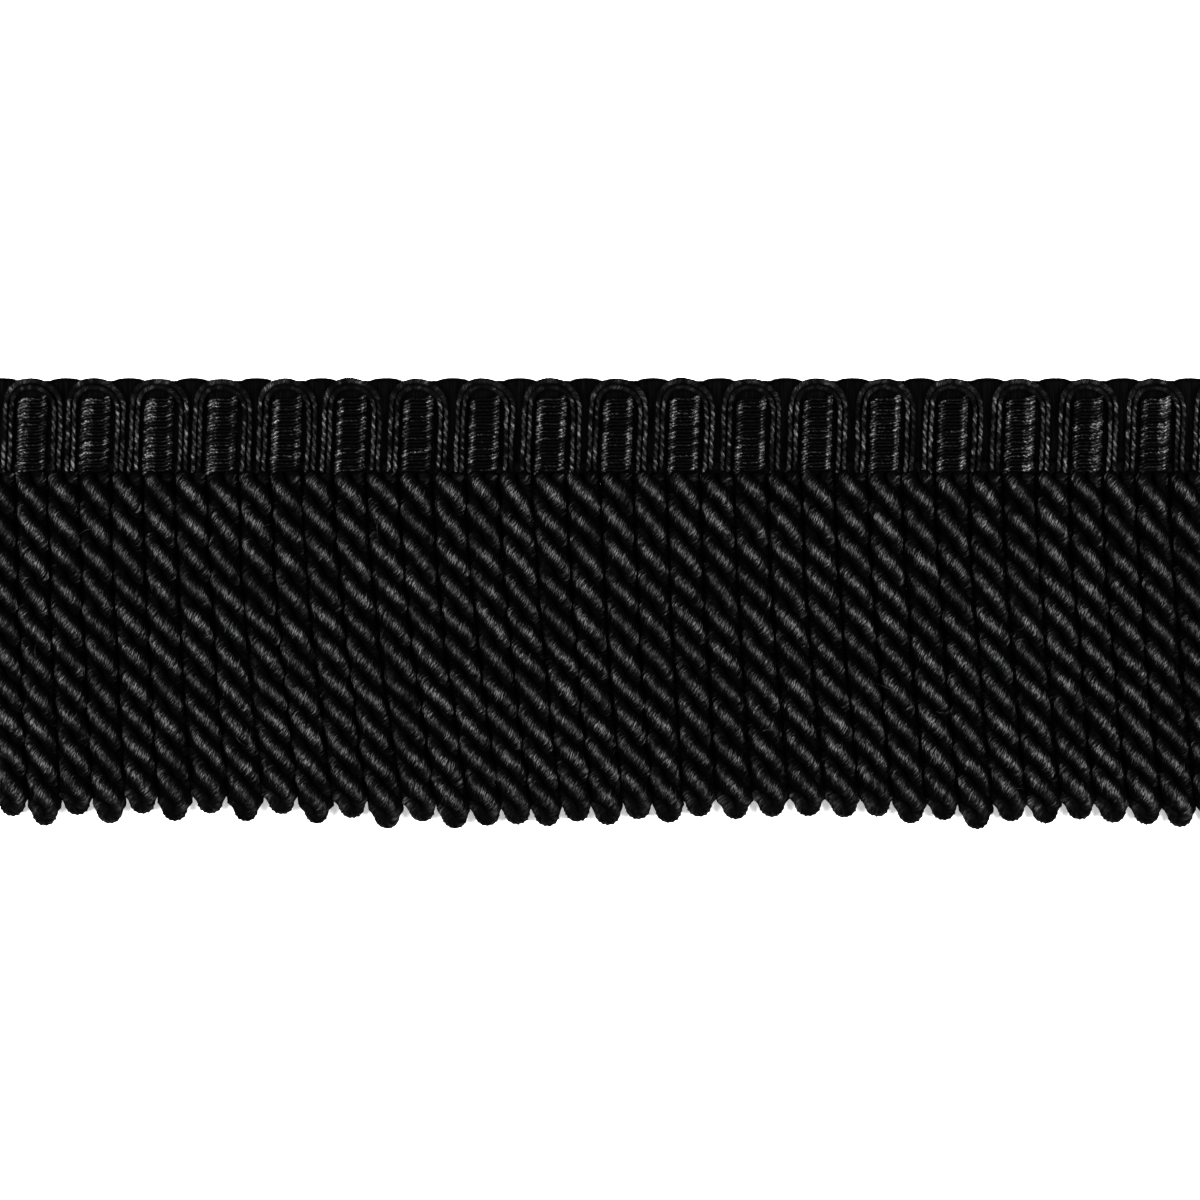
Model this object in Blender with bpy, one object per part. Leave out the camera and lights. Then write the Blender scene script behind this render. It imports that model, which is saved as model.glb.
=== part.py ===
"""Bullion fringe: a cut length of looped, twisted cords under a scalloped gimp heading.

It lies face up on a level surface, as a length of trim does on a bench.
Metres, +Z up. +X runs along the trim and +Y runs up its face, from the loop ends to the
scallops. The origin is on the back of the heading, half way up it, and z = 0 is the surface.
Sizes below are in millimetres and MM turns them into metres.
"""

import math

import bmesh
import bpy
import numpy as np
from mathutils import Matrix

MM = 0.001
GAP = 0.3
WELD = 0.0005

# The repeat: cords hang at two pitches, closer along the left end than along the rest.
MOTIF_COUNT = 19
CORD_COUNT = 2 * MOTIF_COUNT
CLOSE_PITCH = 5.54
OPEN_PITCH = 5.835
CLOSE_CORDS = 12
OPENING_X = -38.0
LEAN = 0.038

# The heading was sewn on by hand, so it creeps a little along the cords
HEADING_SLIDE = (
    # motif, slide to the right
    (0, 0.0),
    (3, -0.2),
    (6, 0.4),
    (12, 0.0),
    (18, 0.6),
)

# The heading
BACK_THICK = 1.5
BACK_FOOT = -5.9
BACK_CREST = 7.8
BUMP_TOP = 8.3
BUMP_HALF = 2.6
BUMP_STEPS = 4
TRIM_FOOT = -8.0
MOTIF_END = 5.7
TRIM_BASE = BACK_THICK + GAP

# The gimp arch: middle of its two strands, from the left foot over the top to the right foot
ARCH_PATH = (
    # x, y
    (-4.2, TRIM_FOOT),
    (-4.2, 4.2),
    (-3.9, 5.6),
    (-3.1, 6.7),
    (-1.8, 7.25),
    (-0.3, 7.4),
    (1.2, 7.1),
    (2.6, 6.4),
    (3.7, 5.3),
    (4.3, 4.0),
    (4.4, 2.6),
    (4.4, TRIM_FOOT),
)
ARCH_HALF = 1.0
STRAND_RIDGE = 0.55
STRAND_HEIGHT = 1.45
STRAND_VALLEY = 0.95

# The ribbed panel inside each arch
PANEL_HALF = 2.4
PANEL_CROWN_HALF = 1.35
PANEL_HEIGHT = 1.4
PANEL_TOP = 4.9
PANEL_RIBS = 10
RIB_DIP = 0.87

# The strip that holds the cords, and the cords
STRIP_TOP = BACK_FOOT - GAP
STRIP_FOOT = -8.6
STRIP_END = 2.6
CORD_RADIUS = 2.65
CORD_FLAT = 0.55
LAY = 11.7
RINGS_PER_TURN = 6
ROOT_INSIDE = 1.0
ROOT_SCALE = 0.28
ROOT_RISE = 1.2
ROOT_LEVEL = 0.75
SWING_POWER = 1.5
END_RINGS = (
    # distance from the tip, share of the full size
    (1.9, 0.97),
    (0.75, 0.76),
    (0.0, 0.36),
)
LOOP_ENDS = (
    # cord, drop below the strip, how much lower every second cord hangs, swing to the right
    (0, 60.4, 1.8, 2.3),
    (5, 59.7, 1.4, 2.9),
    (8, 59.8, 1.2, 5.0),
    (12, 61.3, 1.6, 7.4),
    (14, 61.2, 0.0, 7.0),
    (17, 60.9, -0.8, 5.1),
    (21, 60.0, -0.8, 2.9),
    (25, 59.5, 0.5, 4.9),
    (29, 61.2, 1.2, 4.6),
    (32, 60.2, 0.2, 5.0),
    (35, 61.4, 0.0, 5.0),
    (37, 60.6, 0.5, 5.1),
)

# Colours, linear RGB, with roughness
YARN = (0.012, 0.012, 0.013, 0.85)
GIMP = (0.016, 0.016, 0.017, 0.6)
RIBS = (0.022, 0.022, 0.024, 0.42)
GROUND = (0.008, 0.008, 0.009, 0.8)


def along(step):
    """Place along the trim, in mm, of a whole or half number of cords from the left end."""
    pitch = CLOSE_PITCH if step < CLOSE_CORDS else OPEN_PITCH
    return OPENING_X + (step - CLOSE_CORDS) * pitch


def motif_middle(motif):
    """Place along the trim, in mm, of a motif's middle. Half a motif is between two of them."""
    motifs, slides = zip(*HEADING_SLIDE)
    return along(2 * motif + 1) + float(np.interp(motif, motifs, slides))


def cut_ends():
    """Places along the trim, in mm, of its left and right ends, which clear the last arch."""
    return along(0) - STRIP_END, motif_middle(MOTIF_COUNT - 1) + MOTIF_END


def loop_end(cord):
    """How far below the strip a cord's loop end lies and how far it swings, in mm."""
    cords, drops, steps, swings = zip(*LOOP_ENDS)
    lower = float(np.interp(cord, cords, steps)) / 2
    drop = float(np.interp(cord, cords, drops)) + (lower if cord % 2 else -lower)
    return drop, float(np.interp(cord, cords, swings))


def clear_scene():
    """Remove every object that the scene starts with."""
    for obj in list(bpy.data.objects):
        bpy.data.objects.remove(obj, do_unlink=True)


def collection(name):
    """A new collection in the scene."""
    made = bpy.data.collections.new(name)
    bpy.context.scene.collection.children.link(made)
    return made


def material(name, finish):
    """A Principled BSDF material from (red, green, blue, roughness)."""
    red, green, blue, roughness = finish
    made = bpy.data.materials.new(name)
    made.use_nodes = True
    shader = made.node_tree.nodes["Principled BSDF"]
    shader.inputs["Base Color"].default_value = (red, green, blue, 1.0)
    shader.inputs["Roughness"].default_value = roughness
    shader.inputs["Metallic"].default_value = 0.0
    made.diffuse_color = (red, green, blue, 1.0)
    return made


def section(name, points, helpers):
    """A closed flat outline in mm, listed clockwise, that sweeps follow."""
    curve = bpy.data.curves.new(name, "CURVE")
    curve.dimensions = "2D"
    spline = curve.splines.new("POLY")
    spline.points.add(len(points) - 1)
    for place, (x, y) in zip(spline.points, points):
        place.co = (x * MM, y * MM, 0.0, 1.0)
    spline.use_cyclic_u = True
    made = bpy.data.objects.new(name, curve)
    made.hide_render = True
    made.display_type = "WIRE"
    helpers.objects.link(made)
    return made


def sweep(name, outline, stations, group):
    """A capped sweep of the outline. Each station is x, y, z in mm, a scale and a tilt."""
    curve = bpy.data.curves.new(name, "CURVE")
    curve.dimensions = "3D"
    curve.twist_mode = "Z_UP"
    curve.bevel_mode = "OBJECT"
    curve.bevel_object = outline
    curve.use_fill_caps = True
    spline = curve.splines.new("POLY")
    spline.points.add(len(stations) - 1)
    for place, (x, y, z, scale, tilt) in zip(spline.points, stations):
        place.co = (x * MM, y * MM, z * MM, 1.0)
        place.radius = scale
        place.tilt = tilt
    made = bpy.data.objects.new(name, curve)
    group.objects.link(made)
    return made


def heading_back(group):
    """The flat ground of the heading, with a round loop standing up between two arches."""
    left, right = cut_ends()
    outline = [(right, BACK_FOOT), (right, BACK_CREST)]
    for gap in reversed(range(MOTIF_COUNT + 1)):
        middle = motif_middle(gap - 0.5) + LEAN * BUMP_TOP
        for step in range(BUMP_STEPS + 1):
            turn = math.pi * step / BUMP_STEPS
            x = middle + BUMP_HALF * math.cos(turn)
            if left < x < right:
                outline.append((x, BACK_CREST + (BUMP_TOP - BACK_CREST) * math.sin(turn)))
    outline += [(left, BACK_CREST), (left, BACK_FOOT)]
    curve = bpy.data.curves.new("heading_back", "CURVE")
    curve.dimensions = "2D"
    curve.fill_mode = "BOTH"
    curve.extrude = BACK_THICK / 2 * MM
    spline = curve.splines.new("POLY")
    spline.points.add(len(outline) - 1)
    for place, (x, y) in zip(spline.points, outline):
        place.co = (x * MM, y * MM, 0.0, 1.0)
    spline.use_cyclic_u = True
    made = bpy.data.objects.new("heading_back", curve)
    made.location.z = BACK_THICK / 2 * MM
    made.data.materials.append(material("ground cloth", GROUND))
    group.objects.link(made)


def gimp_arches(group, helpers):
    """The arches of two gimp strands side by side, which share one section."""
    outline = section(
        "gimp section",
        (
            (-ARCH_HALF, 0.0),
            (-STRAND_RIDGE, STRAND_HEIGHT),
            (0.0, STRAND_VALLEY),
            (STRAND_RIDGE, STRAND_HEIGHT),
            (ARCH_HALF, 0.0),
        ),
        helpers,
    )
    finish = material("gimp", GIMP)
    for motif in range(MOTIF_COUNT):
        middle = motif_middle(motif)
        path = [(middle + x + LEAN * y, y, TRIM_BASE, 1.0, 0.0) for x, y in ARCH_PATH]
        arch = sweep(f"gimp_arch_{motif + 1:02d}", outline, path, group)
        arch.data.materials.append(finish)


def rib_panels(group, helpers):
    """The raised panels inside the arches, ribbed across."""
    outline = section(
        "panel section",
        (
            (-PANEL_HALF, 0.0),
            (-PANEL_CROWN_HALF, PANEL_HEIGHT),
            (PANEL_CROWN_HALF, PANEL_HEIGHT),
            (PANEL_HALF, 0.0),
        ),
        helpers,
    )
    finish = material("ribbed thread", RIBS)
    steps = 2 * PANEL_RIBS
    for motif in range(MOTIF_COUNT):
        middle = motif_middle(motif)
        path = []
        for step in range(steps + 1):
            y = TRIM_FOOT + (PANEL_TOP - TRIM_FOOT) * step / steps
            scale = RIB_DIP if step % 2 == 0 else 1.0
            path.append((middle + LEAN * y, y, TRIM_BASE, scale, 0.0))
        panel = sweep(f"rib_panel_{motif + 1:02d}", outline, path, group)
        panel.data.materials.append(finish)


def cord_stations(index):
    """Stations of one cord, from inside the strip to its loop end, which lies flat."""
    drop, swing = loop_end(index)
    root_x = along(index)
    flat_at = drop - END_RINGS[0][0]
    ring = LAY / RINGS_PER_TURN
    full_rings = int((flat_at - ROOT_RISE - ring / 2) / ring)
    downs = [(ROOT_RISE, 1.0)]
    downs += [(flat_at - step * ring, 1.0) for step in range(full_rings, 0, -1)]
    downs += [(drop - back, scale) for back, scale in END_RINGS]
    root_turn = 2 * math.pi * (flat_at - ROOT_RISE) / LAY
    stations = [
        (root_x, STRIP_FOOT + ROOT_INSIDE, ROOT_LEVEL, ROOT_SCALE, root_turn),
        (root_x, STRIP_FOOT + GAP / 2, ROOT_LEVEL, ROOT_SCALE, root_turn),
    ]
    for down, scale in downs:
        x = root_x + swing * (down / drop) ** SWING_POWER
        turn = 2 * math.pi * (flat_at - down) / LAY
        stations.append((x, STRIP_FOOT - down, CORD_RADIUS, scale, turn))
    return stations


def mesh_of(objects):
    """One mesh of several swept curves, with their caps welded, and the curves removed."""
    graph = bpy.context.evaluated_depsgraph_get()
    joined = bmesh.new()
    for obj in objects:
        part = bpy.data.meshes.new_from_object(obj.evaluated_get(graph))
        joined.from_mesh(part)
        bpy.data.meshes.remove(part)
        bpy.data.objects.remove(obj, do_unlink=True)
    bmesh.ops.remove_doubles(joined, verts=joined.verts, dist=WELD * MM)
    bmesh.ops.triangulate(joined, faces=joined.faces, quad_method="SHORT_EDGE")
    bmesh.ops.recalc_face_normals(joined, faces=joined.faces)
    mesh = bpy.data.meshes.new("cords")
    joined.to_mesh(mesh)
    joined.free()
    return mesh


def bullion_skirt(group, helpers):
    """The looped cords, their roots fused into the narrow strip behind the heading's foot."""
    long_side = CORD_RADIUS / math.hypot(1.0, CORD_FLAT)
    short_side = long_side * CORD_FLAT
    outline = section(
        "cord section",
        (
            (-long_side, -short_side),
            (-long_side, short_side),
            (long_side, short_side),
            (long_side, -short_side),
        ),
        helpers,
    )
    swept = [
        sweep(f"cord {index}", outline, cord_stations(index), helpers)
        for index in range(CORD_COUNT)
    ]
    bpy.context.view_layer.update()
    cords = bpy.data.objects.new("cords", mesh_of(swept))
    cords.hide_render = True
    cords.display_type = "WIRE"
    helpers.objects.link(cords)

    left, right = cut_ends()
    bpy.ops.mesh.primitive_cube_add(size=1.0)
    skirt = bpy.context.object
    skirt.name = "bullion_skirt"
    skirt.data.name = "bullion_skirt"
    for owner in list(skirt.users_collection):
        owner.objects.unlink(skirt)
    group.objects.link(skirt)
    size = (right - left, STRIP_TOP - STRIP_FOOT, BACK_THICK)
    skirt.data.transform(Matrix.Diagonal([side * MM for side in size] + [1.0]))
    skirt.location = (
        (left + right) / 2 * MM,
        (STRIP_TOP + STRIP_FOOT) / 2 * MM,
        BACK_THICK / 2 * MM,
    )
    join = skirt.modifiers.new("cord roots", "BOOLEAN")
    join.operation = "UNION"
    join.object = cords
    skirt.data.materials.append(material("cord yarn", YARN))


def main():
    """Build the fringe."""
    clear_scene()
    fringe = collection("bullion fringe")
    helpers = collection("sections and helpers")
    heading_back(fringe)
    gimp_arches(fringe, helpers)
    rib_panels(fringe, helpers)
    bullion_skirt(fringe, helpers)


main()
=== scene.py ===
"""Bullion fringe: twisted, looped cords under a woven heading with gimp arches and ribbed panels.

The trim lies face up on a level surface. +X runs along it and +Y runs up its face. Sizes are in
millimetres until a mesh is made.
"""

import logging
import math
from dataclasses import dataclass
from enum import Enum
from typing import Union

import bpy
import numpy as np
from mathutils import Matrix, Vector


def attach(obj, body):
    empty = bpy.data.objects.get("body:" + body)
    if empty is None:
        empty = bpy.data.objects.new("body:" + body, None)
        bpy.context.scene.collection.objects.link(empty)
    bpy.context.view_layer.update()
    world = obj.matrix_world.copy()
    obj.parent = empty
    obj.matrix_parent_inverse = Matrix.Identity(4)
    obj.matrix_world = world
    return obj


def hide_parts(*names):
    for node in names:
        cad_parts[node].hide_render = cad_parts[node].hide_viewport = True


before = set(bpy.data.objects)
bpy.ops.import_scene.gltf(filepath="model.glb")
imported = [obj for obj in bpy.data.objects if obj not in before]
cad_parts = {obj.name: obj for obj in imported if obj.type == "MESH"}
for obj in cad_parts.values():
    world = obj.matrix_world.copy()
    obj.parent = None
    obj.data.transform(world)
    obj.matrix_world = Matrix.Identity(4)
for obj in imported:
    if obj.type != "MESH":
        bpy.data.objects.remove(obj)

MM = 0.001
TURN = 2 * math.pi
TINY = 1e-12
STEEP = 0.9
FLECK_RANGE = (0.1, 1.5)
SHINE_RANGE = (0.1, 0.9)
LAY_MAP = "lay"
# The crest attribute holds yarn crests together with painted highlight and painted shade.
CREST_AND_PAINTED_LIGHT = "crest"
SHINE = "shine"
WRAP = "wrap"

log = logging.getLogger("bullion fringe")


class Slot(Enum):
    """The record's material slots."""

    GROUND = "ground"
    GIMP = "gimp"
    RIB = "rib"
    CORD = "cord"


# Shader nodes


class Wire:
    """A shader socket that arithmetic can be done on."""

    def __init__(self, shop: "Shop", socket: bpy.types.NodeSocket) -> None:
        """Keep the shop that adds nodes and the socket itself."""
        self.shop = shop
        self.socket = socket

    def __add__(self, other: "Amount") -> "Wire":
        """Sum of two amounts."""
        return self.shop.math("ADD", self, other)

    def __radd__(self, other: "Amount") -> "Wire":
        """Sum of two amounts."""
        return self.shop.math("ADD", other, self)

    def __sub__(self, other: "Amount") -> "Wire":
        """Difference of two amounts."""
        return self.shop.math("SUBTRACT", self, other)

    def __rsub__(self, other: "Amount") -> "Wire":
        """Difference of two amounts."""
        return self.shop.math("SUBTRACT", other, self)

    def __mul__(self, other: "Amount") -> "Wire":
        """Product of two amounts."""
        return self.shop.math("MULTIPLY", self, other)

    def __rmul__(self, other: "Amount") -> "Wire":
        """Product of two amounts."""
        return self.shop.math("MULTIPLY", other, self)

    def __pow__(self, other: "Amount") -> "Wire":
        """An amount to a power."""
        return self.shop.math("POWER", self, other)


Amount = Union[Wire, float]


class Shop:
    """Adds nodes to one material."""

    def __init__(self, name: str) -> None:
        """Start an empty material."""
        self.material = bpy.data.materials.new(name)
        self.material.use_nodes = True
        self.tree = self.material.node_tree
        self.tree.nodes.clear()

    def node(
        self, kind: str, settings: dict, inputs: dict, output: Union[str, int, None] = 0
    ) -> Wire:
        """Add one node.

        Args:
            kind: The node's type.
            settings: Its settings, which are set first.
            inputs: Values or links of its sockets, by name or number.
            output: The socket to return, or None where there is none.

        Returns:
            The chosen output, ready for arithmetic.
        """
        made = self.tree.nodes.new(kind)
        for key, value in settings.items():
            setattr(made, key, value)
        for key, value in inputs.items():
            socket = made.inputs[key]
            if isinstance(value, Wire):
                self.tree.links.new(value.socket, socket)
            else:
                socket.default_value = value
        return Wire(self, None if output is None else made.outputs[output])

    def math(self, operation: str, *amounts: Amount, clamp: bool = False) -> Wire:
        """Add a Math node.

        Args:
            operation: The node's operation.
            amounts: Its values or links, in order.
            clamp: Whether the result is kept from 0 to 1.

        Returns:
            The result.
        """
        settings = {"operation": operation, "use_clamp": clamp}
        return self.node("ShaderNodeMath", settings, dict(enumerate(amounts)))

    def attribute(self, name: str) -> Wire:
        """The value of a named mesh attribute."""
        return self.node("ShaderNodeAttribute", {"attribute_name": name}, {}, "Fac")

    def blend(self, share: Amount, first: tuple, second: tuple) -> Wire:
        """Mix two colours.

        Args:
            share: 0 for the first colour and 1 for the second.
            first: A linear RGBA colour.
            second: A linear RGBA colour.

        Returns:
            The mixed colour.
        """
        settings = {"data_type": "RGBA", "blend_type": "MIX"}
        return self.node("ShaderNodeMix", settings, {0: share, 6: first, 7: second}, 2)

    def lay(self, across: float, along: float, shift: float = 0.0) -> Wire:
        """Coordinates that follow the lay of the yarn.

        Args:
            across: Repeats round the strand.
            along: Repeats in one millimetre of its length.
            shift: Moves the pattern, so that two of them differ.

        Returns:
            A vector, with one unit for one repeat.
        """
        here = self.node("ShaderNodeUVMap", {"uv_map": LAY_MAP}, {})
        settings = {"operation": "MULTIPLY_ADD"}
        inputs = {0: here, 1: (across, along, 1.0), 2: (shift, shift, shift)}
        return self.node("ShaderNodeVectorMath", settings, inputs)

    def noise(self, place: Wire, scale: float, detail: float = 2.0, rough: float = 0.5) -> Wire:
        """Noise from 0 to 1.

        Args:
            place: The coordinates.
            scale: Repeats in one unit of them.
            detail: Finer layers.
            rough: How strongly the finer layers show.

        Returns:
            The noise value.
        """
        inputs = {"Vector": place, "Scale": scale, "Detail": detail, "Roughness": rough}
        return self.node("ShaderNodeTexNoise", {}, inputs, 0)

    def place(self) -> Wire:
        """Object coordinates, in metres."""
        return self.node("ShaderNodeTexCoord", {}, {}, "Object")

    def raised(self, height: Amount, strength: float, depth: float) -> Wire:
        """A normal with small relief in it.

        Args:
            height: The relief, from 0 to 1.
            strength: How strongly it shows.
            depth: Its depth, in millimetres.

        Returns:
            The normal.
        """
        inputs = {"Strength": strength, "Distance": depth * MM, "Height": height}
        return self.node("ShaderNodeBump", {}, inputs)

    def principled(self, constants: dict, varying: dict) -> Wire:
        """Add one Principled shader.

        Args:
            constants: Values that are the same all over.
            varying: Links for what changes over the surface.

        Returns:
            The shader.
        """
        return self.node("ShaderNodeBsdfPrincipled", {}, {**constants, **varying})

    def finished(self, shader: Wire) -> bpy.types.Material:
        """Finish the material with a shader.

        Args:
            shader: What the surface shows.

        Returns:
            The material.
        """
        self.node("ShaderNodeOutputMaterial", {}, {"Surface": shader}, None)
        return self.material


# Finishes


def grey(tone: float, blue: float = 1.0) -> tuple:
    """A linear grey, with its blue scaled."""
    return (tone, tone, tone * blue, 1.0)


@dataclass(frozen=True)
class YarnFinish:
    """Dyed black yarn with painted light: where the crest attribute paints highlight, on the crests
    of the fine yarns, it is glossy and lighter; in the painted shade between them it is matt black.
    """

    name: str
    shade_tone: float
    crest: float
    gloss: float
    specular: float
    yarns: int
    dash: float
    least: float
    fibre_depth: float
    wraps: float = 0.0
    duller: float = 0.95
    blue: float = 1.03
    crest_power: float = 1.5
    fleck_from: float = 0.36
    fleck_gain: float = 3.4
    dash_shift: float = 7.3
    fibres_around: float = 1.4
    fibres_along: float = 1.6
    fibre_share: float = 0.4
    mottle_scale: float = 260.0
    mottle_least: float = 0.4
    mottle_gain: float = 1.2
    shine_least: float = 0.3
    shine_gain: float = 1.4

    def make(self) -> bpy.types.Material:
        """Build the material.

        Returns:
            A material for meshes that carry the lay map and the crest and shine values.
        """
        shop = Shop(self.name)
        crest = shop.attribute(CREST_AND_PAINTED_LIGHT)
        shine = shop.attribute(SHINE)
        fibre_map = shop.lay(self.yarns * self.fibres_around, self.fibres_along)
        fibres = shop.noise(fibre_map, 1.0, detail=3.0, rough=0.6)
        dash_map = shop.lay(self.yarns, 1 / self.dash, self.dash_shift)
        dashes = shop.noise(dash_map, 1.0, detail=1.0)
        flecks = shop.math("MULTIPLY", dashes - self.fleck_from, self.fleck_gain, clamp=True)
        mottle = shop.noise(shop.place(), self.mottle_scale, rough=0.6)
        # Painted light: the crest attribute carries painted highlight and shade, and sets how far
        # colour and gloss are those of the lit copy.
        lit = crest**self.crest_power * (self.least + (1 - self.least) * flecks)
        lit = lit * (self.mottle_least + self.mottle_gain * mottle)
        lit = shop.math("MULTIPLY", lit, self.shine_least + self.shine_gain * shine, clamp=True)
        height = crest * (1 - self.fibre_share) + fibres * self.fibre_share
        if self.wraps:
            wrap = shop.attribute(WRAP)
            wrap_map = shop.lay(0.0, TURN / self.wraps)
            along = shop.node("ShaderNodeSeparateXYZ", {}, {0: wrap_map}, 1)
            rings = 0.5 + 0.5 * shop.math("SINE", along)
            height = height * (1 - wrap) + wrap * rings
        normal = shop.raised(height, 1.0, self.fibre_depth)
        # A shaded tone and a lit tone: painted shade and painted highlight of one black yarn.
        shade_colour = grey(self.shade_tone, self.blue)
        light = grey(self.crest, self.blue)
        shaded_matte = shop.principled(
            {"Base Color": shade_colour, "Roughness": self.duller, "Specular IOR Level": 0.0}, {}
        )
        glossy = shop.principled(
            {"Roughness": self.gloss, "Specular IOR Level": self.specular},
            {"Base Color": shop.blend(lit, shade_colour, light), "Normal": normal},
        )
        return shop.finished(shop.node("ShaderNodeMixShader", {}, {0: lit, 1: shaded_matte, 2: glossy}))


@dataclass(frozen=True)
class GroundFinish:
    """The close woven ground, almost black, with its weft just showing."""

    name: str
    tone: float = 0.00043
    dark_tint: tuple = (0.5, 0.5, 0.52)
    light_tint: tuple = (1.8, 1.8, 1.85)
    rough: float = 0.9
    rough_vary: float = 0.15
    specular: float = 0.005
    weft: float = 0.42
    thread_scale: float = 160.0
    thread_gain: float = 4.0
    thread_from: float = 1.6
    mottle_scale: float = 300.0
    mottle_least: float = 0.4
    relief: float = 0.6
    relief_depth: float = 0.12

    def shade(self, tint: tuple) -> tuple:
        """The tone in one of its tints, as a linear colour."""
        return (*(self.tone * part for part in tint), 1.0)

    def make(self) -> bpy.types.Material:
        """Build the material.

        Returns:
            A material on object coordinates.
        """
        shop = Shop(self.name)
        here = shop.place()
        scaled = shop.node(
            "ShaderNodeVectorMath",
            {"operation": "MULTIPLY"},
            {0: here, 1: (1000 / self.weft, self.thread_scale, self.thread_scale)},
        )
        threads = shop.noise(scaled, 1.0)
        mottle = shop.noise(here, self.mottle_scale)
        shown = threads * self.thread_gain - self.thread_from
        lit = shop.math("MULTIPLY", shown, self.mottle_least + mottle, clamp=True)
        colour = shop.blend(lit, self.shade(self.dark_tint), self.shade(self.light_tint))
        normal = shop.raised(threads, self.relief, self.relief_depth)
        rough = self.rough + self.rough_vary * (mottle - 0.5)
        varying = {"Base Color": colour, "Roughness": rough, "Normal": normal}
        return shop.finished(shop.principled({"Specular IOR Level": self.specular}, varying))


@dataclass(frozen=True)
class FloorFinish:
    """A plain pale light table, which keeps shadows soft."""

    name: str = "pale_table"
    tone: float = 0.95
    mottle_dark: float = 0.985
    mottle_scale: float = 9.0
    rough: float = 0.9
    specular: float = 0.1
    glow: float = 0.5

    def make(self) -> bpy.types.Material:
        """Build the material.

        Returns:
            A pale, matt material with the faintest mottle.
        """
        shop = Shop(self.name)
        mottle = shop.noise(shop.place(), self.mottle_scale)
        high = grey(self.tone)
        colour = shop.blend(mottle, grey(self.tone * self.mottle_dark), high)
        constants = {
            "Roughness": self.rough,
            "Specular IOR Level": self.specular,
            "Emission Color": high,
            "Emission Strength": self.glow,
        }
        return shop.finished(shop.principled(constants, {"Base Color": colour}))


# Meshes


class Skein:
    """Gathers swept strands into one mesh, with the lay of their yarns."""

    def __init__(self) -> None:
        """Start with nothing."""
        self.points: list = []
        self.values: dict = {CREST_AND_PAINTED_LIGHT: [], SHINE: [], WRAP: []}
        self.corners: list = []
        self.sizes: list = []
        self.maps: list = []
        self.count = 0

    def sweep(
        self,
        rings: np.ndarray,
        run: np.ndarray,
        crest: np.ndarray,
        shine: Union[float, np.ndarray] = 0.5,
        wrap: Union[float, np.ndarray] = 0.0,
    ) -> None:
        """Add one closed strand.

        Args:
            rings: Points in millimetres, rings by places round the strand.
            run: Length along the strand at each ring, in millimetres.
            crest: From 0 to 1: low in furrows and painted shade, high on crests and in painted
                highlight, in the shape of rings.
            shine: How glossy it is, one value or one for each point.
            wrap: How far it is wrapped across, one value or one for each point.
        """
        rows, around = rings.shape[:2]
        index = self.count + np.arange(rows * around).reshape(rows, around)
        after = np.roll(index, -1, axis=1)
        quads = np.stack([index[:-1], after[:-1], after[1:], index[1:]], axis=-1)
        left = np.broadcast_to(np.arange(around) / around, (rows - 1, around))
        right = left + 1 / around
        low = np.broadcast_to(run[:-1, None], left.shape)
        high = np.broadcast_to(run[1:, None], left.shape)
        maps = np.stack([left, low, right, low, right, high, left, high], axis=-1)
        self.corners.append(quads.reshape(-1))
        self.sizes.append(np.full((rows - 1) * around, 4))
        self.maps.append(maps.reshape(-1, 2))
        ends = (rings[0].mean(axis=0), rings[-1].mean(axis=0))
        middles = self.count + rows * around + np.arange(2)
        first = np.stack([np.full(around, middles[0]), after[0], index[0]], axis=-1)
        last = np.stack([np.full(around, middles[1]), index[-1], after[-1]], axis=-1)
        for fan, length in ((first, run[0]), (last, run[-1])):
            self.corners.append(fan.reshape(-1))
            self.sizes.append(np.full(around, 3))
            flat = np.zeros((around, 3, 2))
            flat[:, :, 0] = (np.arange(around) / around)[:, None]
            flat[:, :, 1] = length
            self.maps.append(flat.reshape(-1, 2))
        self.points += [rings.reshape(-1, 3), np.array(ends)]
        for name, value in ((CREST_AND_PAINTED_LIGHT, crest), (SHINE, shine), (WRAP, wrap)):
            full = np.broadcast_to(np.asarray(value, float), (rows, around)).reshape(-1)
            self.values[name] += [full, np.array([full[0], full[-1]])]
        self.count += rows * around + 2

    def make(self, name: str, finish: bpy.types.Material) -> bpy.types.Object:
        """Turn what was gathered into an object.

        Args:
            name: The object's name.
            finish: Its material.

        Returns:
            The object, in the scene.
        """
        corners = np.concatenate(self.corners).astype(np.int32)
        sizes = np.concatenate(self.sizes).astype(np.int32)
        mesh = bpy.data.meshes.new(name)
        mesh.vertices.add(self.count)
        points = np.concatenate(self.points).astype(np.float32) * MM
        mesh.vertices.foreach_set("co", points.reshape(-1))
        mesh.loops.add(len(corners))
        mesh.loops.foreach_set("vertex_index", corners)
        mesh.polygons.add(len(sizes))
        starts = np.concatenate([[0], np.cumsum(sizes)[:-1]]).astype(np.int32)
        mesh.polygons.foreach_set("loop_start", starts)
        mesh.polygons.foreach_set("loop_total", sizes)
        mesh.polygons.foreach_set("use_smooth", np.ones(len(sizes), bool))
        layer = mesh.uv_layers.new(name=LAY_MAP)
        layer.data.foreach_set("uv", np.concatenate(self.maps).astype(np.float32).reshape(-1))
        for key, value in self.values.items():
            held = mesh.attributes.new(key, "FLOAT", "POINT")
            held.data.foreach_set("value", np.concatenate(value).astype(np.float32))
        mesh.update(calc_edges=True)
        mesh.validate()
        mesh.materials.append(finish)
        made = bpy.data.objects.new(name, mesh)
        bpy.context.scene.collection.objects.link(made)
        return made


def unit(vectors: np.ndarray) -> np.ndarray:
    """Vectors scaled to a length of one."""
    return vectors / np.maximum(np.linalg.norm(vectors, axis=-1, keepdims=True), TINY)


def smooth(share: np.ndarray) -> np.ndarray:
    """A soft step from 0 to 1."""
    held = np.clip(share, 0.0, 1.0)
    return held * held * (3 - 2 * held)


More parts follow.
